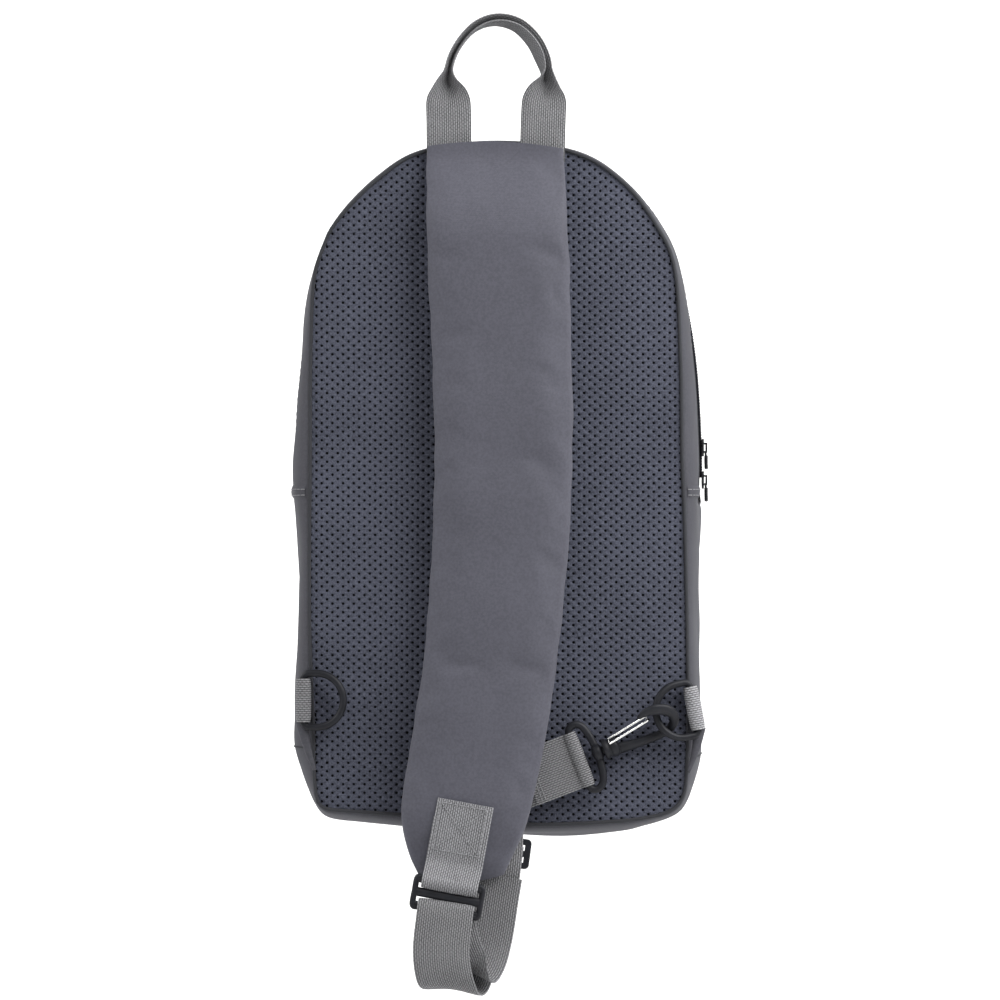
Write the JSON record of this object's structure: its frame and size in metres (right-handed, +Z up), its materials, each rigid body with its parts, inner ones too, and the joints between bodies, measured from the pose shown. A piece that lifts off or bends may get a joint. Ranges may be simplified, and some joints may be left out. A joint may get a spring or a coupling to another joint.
{
  "type": "sling bag",
  "caption": "Slim vertical sling bag hanging by its carry handle: arched soft body, spacer-mesh back, wide padded strap with slide adjuster and a snap hook clipped to a side D-ring.",
  "frame": {"origin": "inside the apex of the carry handle, on the line the handle hangs from", "axes": "+Z up along the bag's height, -Y out of the wearing side (the mesh back panel), +X to the right when looking at the wearing side"},
  "size_m": [0.1871, 0.1308, 0.4334],
  "materials": {
    "grey_fabric": "smooth stretch woven fabric",
    "mesh_fabric": "spacer mesh with rows of round holes",
    "foam": "soft foam",
    "lining_fabric": "thin woven lining",
    "webbing": "flat woven webbing",
    "binding_tape": "narrow dark binding",
    "zip_tape": "woven zip tape",
    "black_plastic": "moulded, fine satin",
    "black_metal": "black lacquered slider",
    "bright_wire": "polished spring wire"
  },
  "bodies": {
    "bag_body": {"back_mesh_panel": "mesh_fabric", "back_foam": "foam", "back_lining": "lining_fabric", "back_seam_binding": "binding_tape", "rear_gusset": "grey_fabric", "lower_gusset": "grey_fabric", "gusset_hems": "grey_fabric", "front_lower_panel": "grey_fabric", "lower_lining": "lining_fabric", "upper_lining": "lining_fabric", "zip_tape_rear": "zip_tape", "zip_coil_rear": "black_plastic", "zip_stops": "black_plastic", "front_pocket": "grey_fabric", "pocket_zip_tape": "zip_tape", "pocket_zip_coil": "black_plastic", "carry_handle": "webbing", "d_ring_tab_left": "webbing", "d_ring_tab_right": "webbing", "adjuster_webbing": "webbing", "adjuster_end": "webbing", "tri_glide": "black_plastic", "hook_webbing": "webbing", "hook_eye": "black_plastic"},
    "front_flap": {"front_upper_panel": "grey_fabric", "front_gusset": "grey_fabric", "flap_lining": "lining_fabric", "zip_tape_front": "zip_tape", "zip_coil_front": "black_plastic"},
    "main_slider_lower": {"main_slider_lower": "black_metal"},
    "main_slider_upper": {"main_slider_upper": "black_metal"},
    "main_pull_lower": {"main_pull_lower": "black_metal"},
    "main_pull_upper": {"main_pull_upper": "black_metal"},
    "pocket_slider": {"pocket_slider": "black_metal"},
    "pocket_pull": {"pocket_pull": "black_metal"},
    "d_ring_left": {"d_ring_left": "black_plastic"},
    "d_ring_right": {"d_ring_right": "black_plastic"},
    "padded_strap": {"strap_back_mesh": "mesh_fabric", "strap_foam": "foam", "strap_face": "grey_fabric", "anchor_patch": "webbing"},
    "strap_end_ring": {"strap_end_ring": "black_plastic"},
    "hook_body": {"hook_body": "black_plastic"},
    "wire_gate": {"wire_gate": "bright_wire"}
  },
  "joints": [
    {"name": "flap_open", "type": "hinge", "parent": "bag_body", "child": "front_flap", "pos_m": [0, 0.089, -0.2065], "axis": [-1, 0, 0], "range_deg": [0, 70]},
    {"name": "lower_slider_run", "type": "slide", "parent": "bag_body", "child": "main_slider_lower", "axis": [0, 0, 1], "range_m": [0, 0.022]},
    {"name": "upper_slider_run", "type": "slide", "parent": "main_slider_lower", "child": "main_slider_upper", "axis": [0, 0, 1], "range_m": [0, 0.022]},
    {"name": "lower_pull_lift", "type": "hinge", "parent": "main_slider_lower", "child": "main_pull_lower", "pos_m": [0.09345, 0.035, -0.20335], "axis": [0, -1, 0], "range_deg": [0, 95]},
    {"name": "upper_pull_lift", "type": "hinge", "parent": "main_slider_upper", "child": "main_pull_upper", "pos_m": [0.09345, 0.035, -0.18885], "axis": [0, -1, 0], "range_deg": [0, 95]},
    {"name": "pocket_slider_run", "type": "slide", "parent": "bag_body", "child": "pocket_slider", "axis": [1, 0, 0], "range_m": [-0.096, 0]},
    {"name": "pocket_pull_lift", "type": "hinge", "parent": "pocket_slider", "child": "pocket_pull", "pos_m": [0.04615, 0.10245, -0.23], "axis": [0, 0, -1], "range_deg": [0, 95]},
    {"name": "left_ring_swing", "type": "hinge", "parent": "bag_body", "child": "d_ring_left", "pos_m": [-0.0865, -0.0028, -0.2995], "axis": [0, 0, -1], "range_deg": [-6, 165]},
    {"name": "right_ring_swing", "type": "hinge", "parent": "bag_body", "child": "d_ring_right", "pos_m": [0.0872, -0.0028, -0.303], "axis": [-0.1908, 0, 0.9816], "range_deg": [-1, 2]},
    {"name": "strap_lift", "type": "hinge", "parent": "bag_body", "child": "padded_strap", "pos_m": [0, -0.0015, -0.052], "axis": [-1, 0, 0], "range_deg": [0, 12], "deforming": ["adjuster_webbing"]},
    {"name": "end_ring_swing", "type": "hinge", "parent": "padded_strap", "child": "strap_end_ring", "pos_m": [-0.0213, -0.02302, -0.3806], "axis": [0.9833, 0, -0.1822], "range_deg": [-18, 18], "deforming": ["adjuster_webbing"]},
    {"name": "hook_swivel", "type": "hinge", "parent": "bag_body", "child": "hook_body", "pos_m": [0.047, -0.005, -0.3215], "axis": [0.9336, 0, 0.3584], "range_deg": [-3, 10]},
    {"name": "gate_press", "type": "hinge", "parent": "hook_body", "child": "wire_gate", "pos_m": [0.04935, -0.00783, -0.31757], "axis": [-0.2534, 0.7071, 0.6601], "range_deg": [0, 20], "stiffness_Nm_per_rad": 0.01, "springref_deg": -11.46}
  ]
}
